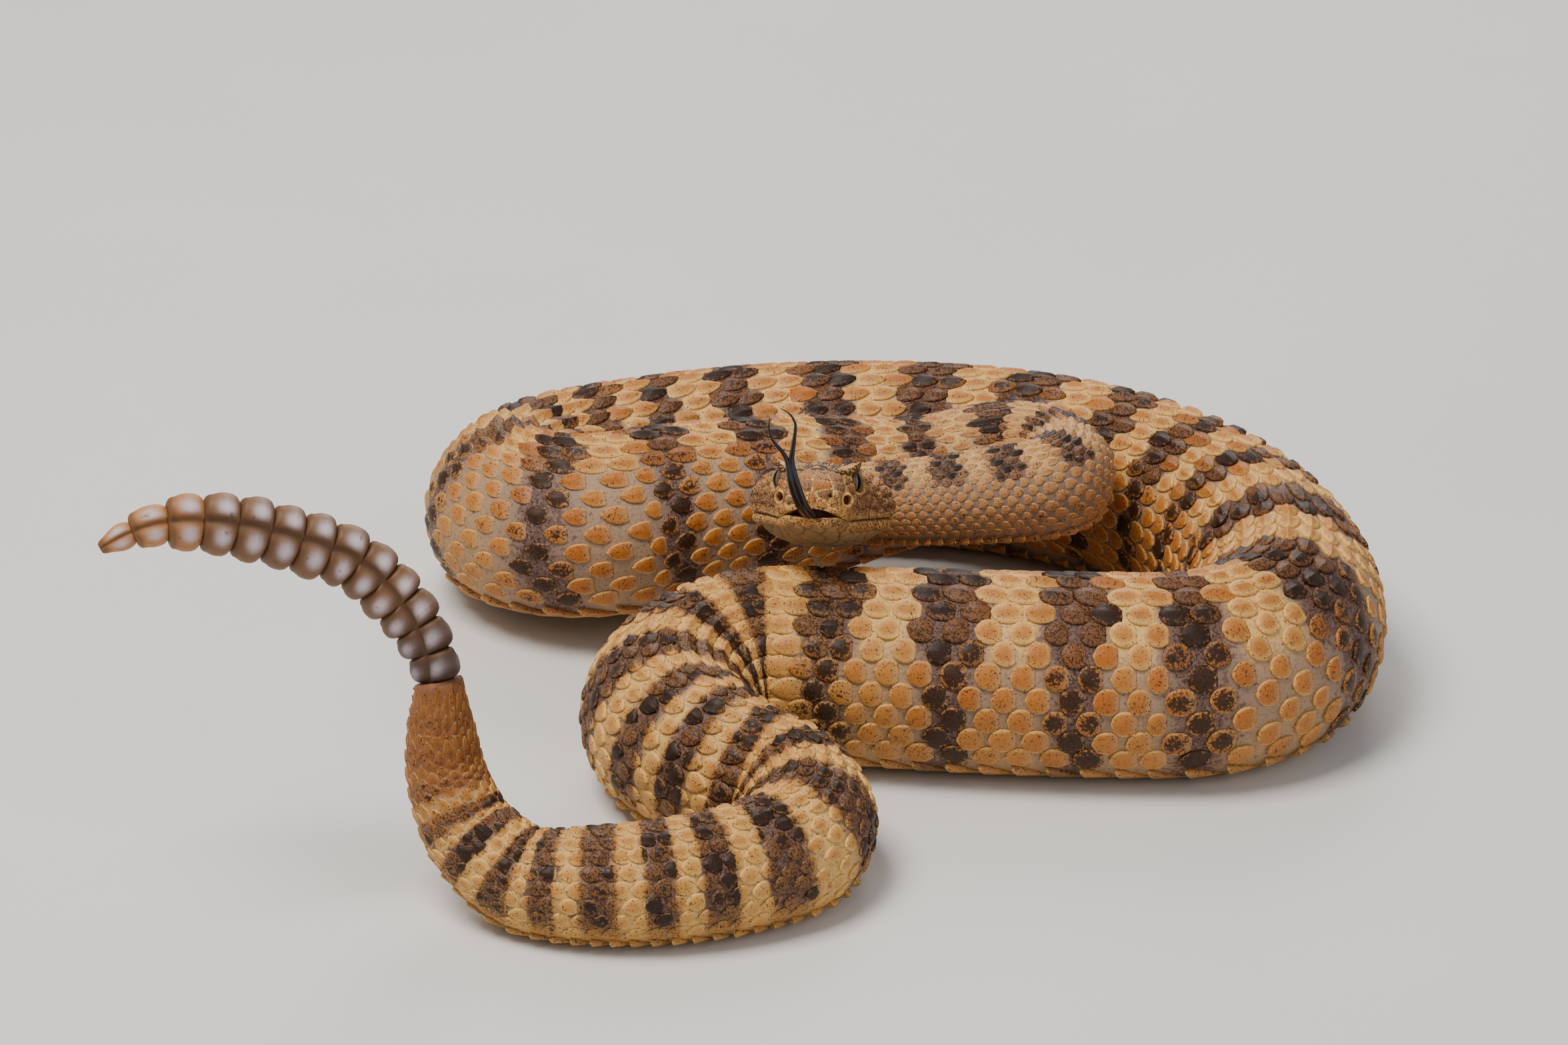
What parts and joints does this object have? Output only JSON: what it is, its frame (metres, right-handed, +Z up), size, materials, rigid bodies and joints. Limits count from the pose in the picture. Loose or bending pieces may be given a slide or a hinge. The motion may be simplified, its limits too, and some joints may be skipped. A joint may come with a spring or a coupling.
{
  "type": "tiger rattlesnake",
  "caption": "Life-size still model of a tiger rattlesnake resting in loose bends, head raised and facing out with tongue flicked, rattle held up.",
  "frame": {"origin": "on the floor under the centre of the whole model's box", "axes": "+Z up; -Y is the side that the head faces; +X runs from the rattle's tip to the wide bend of the body"},
  "size_m": [0.199, 0.1688, 0.0663],
  "materials": {
    "head_skin": "ochre head scales flecked with brown and black, satin",
    "chin_skin": "pale khaki chin scales, satin",
    "body_skin": "keeled scales, cream and orange between dark brown crossbands, satin",
    "eye": "glossy grey-brown eye with an upright slit pupil",
    "tongue": "moist black",
    "rattle": "dry horn, tan with pale lobes"
  },
  "bodies": {
    "root": {"head": "head_skin", "lower_jaw": "chin_skin", "eye_right": "eye", "eye_left": "eye", "tongue": "tongue", "neck": "body_skin", "body_1": "body_skin", "body_2": "body_skin", "body_3": "body_skin", "body_4": "body_skin", "body_5": "body_skin", "body_6": "body_skin", "body_7": "body_skin", "body_8": "body_skin", "body_9": "body_skin", "body_10": "body_skin", "body_11": "body_skin", "tail": "body_skin", "rattle": "rattle"}
  },
  "joints": []
}
